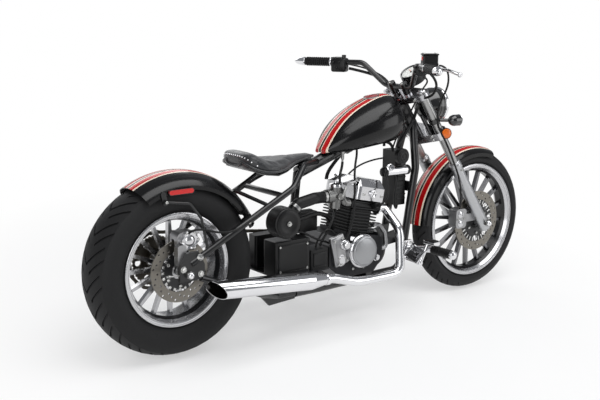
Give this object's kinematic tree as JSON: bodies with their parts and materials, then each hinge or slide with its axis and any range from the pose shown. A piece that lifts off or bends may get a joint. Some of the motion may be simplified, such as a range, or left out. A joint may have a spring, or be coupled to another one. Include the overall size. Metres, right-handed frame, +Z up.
{
  "type": "motorcycle",
  "caption": "Low solo-seat bobber motorcycle parked on its side stand, with steering, rolling wheels and a folding stand.",
  "frame": {"origin": "on the floor under the middle of the parked machine's bounding box", "axes": "+X forward, +Y to the rider's left, +Z up; the machine leans 8 degrees to +Y on its side stand"},
  "size_m": [2.1188, 0.9049, 1.0753],
  "materials": {
    "frame_black": "gloss black",
    "gloss_black_paint": "gloss black lacquer with two red stripes",
    "filler_red": "gloss",
    "black_vinyl": "matte black",
    "pan_grey": "satin",
    "cast_grey": "cast, satin",
    "polished_alloy": "polished",
    "engine_black": "satin black",
    "satin_steel": "satin",
    "chrome": "mirror",
    "black_plastic": "satin black",
    "black_rubber": "matte",
    "tyre_rubber": "matte",
    "wheel_black": "black with machined lips",
    "lamp_glass": "clear",
    "red_lens": "gloss"
  },
  "bodies": {
    "chassis": {"main_frame": "frame_black", "rear_frame": "frame_black", "rear_axle": "satin_steel", "rear_fender": "gloss_black_paint", "tail_lamps": "red_lens", "fuel_tank": "gloss_black_paint", "filler_cap": "filler_red", "seat": "black_vinyl", "seat_pan": "pan_grey", "crankcase": "cast_grey", "engine_covers": "polished_alloy", "barrel": "engine_black", "cylinder_head": "engine_black", "rocker_cover": "polished_alloy", "oil_pipe": "satin_steel", "carburettor": "cast_grey", "intake_hose": "black_rubber", "air_filter": "black_plastic", "side_boxes": "black_plastic", "exhaust_headers": "chrome", "mufflers": "chrome", "drive_chain": "satin_steel", "electrics_box": "black_plastic", "horn": "black_plastic", "ignition_coil": "chrome", "foot_controls": "chrome", "foot_pegs": "black_rubber", "rear_caliper": "cast_grey"},
    "steering": {"steering_stem": "polished_alloy", "upper_clamp": "polished_alloy", "fork_tubes": "satin_steel", "fork_sliders": "cast_grey", "front_axle": "satin_steel", "front_fender": "gloss_black_paint", "front_caliper": "cast_grey", "handlebar": "frame_black", "grips": "black_rubber", "bar_ends": "chrome", "lever_perches": "black_plastic", "hand_levers": "chrome", "master_cylinder": "black_plastic", "speedometer": "black_plastic", "headlamp_shell": "black_plastic", "headlamp_rim": "chrome", "headlamp_lens": "lamp_glass", "turn_signals": "black_plastic"},
    "rear_wheel": {"rear_rim": "wheel_black", "rear_tyre": "tyre_rubber", "rear_disc": "satin_steel", "rear_sprocket": "satin_steel"},
    "front_wheel": {"front_rim": "wheel_black", "front_tyre": "tyre_rubber", "front_disc": "satin_steel"},
    "side_stand": {"side_stand": "frame_black"}
  },
  "joints": [
    {"name": "steering", "type": "hinge", "parent": "chassis", "child": "steering", "pos_m": [0.39433, -0.03113, 0.75014], "axis": [-0.5592, 0.1154, 0.821], "range_deg": [-32, 32]},
    {"name": "front_wheel_spin", "type": "hinge", "parent": "steering", "child": "front_wheel", "pos_m": [0.7515, -0.09363, 0.30547], "axis": [0, 0.9903, -0.1392], "continuous": true},
    {"name": "rear_wheel_spin", "type": "hinge", "parent": "chassis", "child": "rear_wheel", "pos_m": [-0.7435, -0.09238, 0.31437], "axis": [0, 0.9903, -0.1392], "continuous": true},
    {"name": "stand_fold", "type": "hinge", "parent": "chassis", "child": "side_stand", "pos_m": [-0.1035, 0.00338, 0.11914], "axis": [0.0258, 0.5287, 0.8484], "range_deg": [0, 90]}
  ]
}
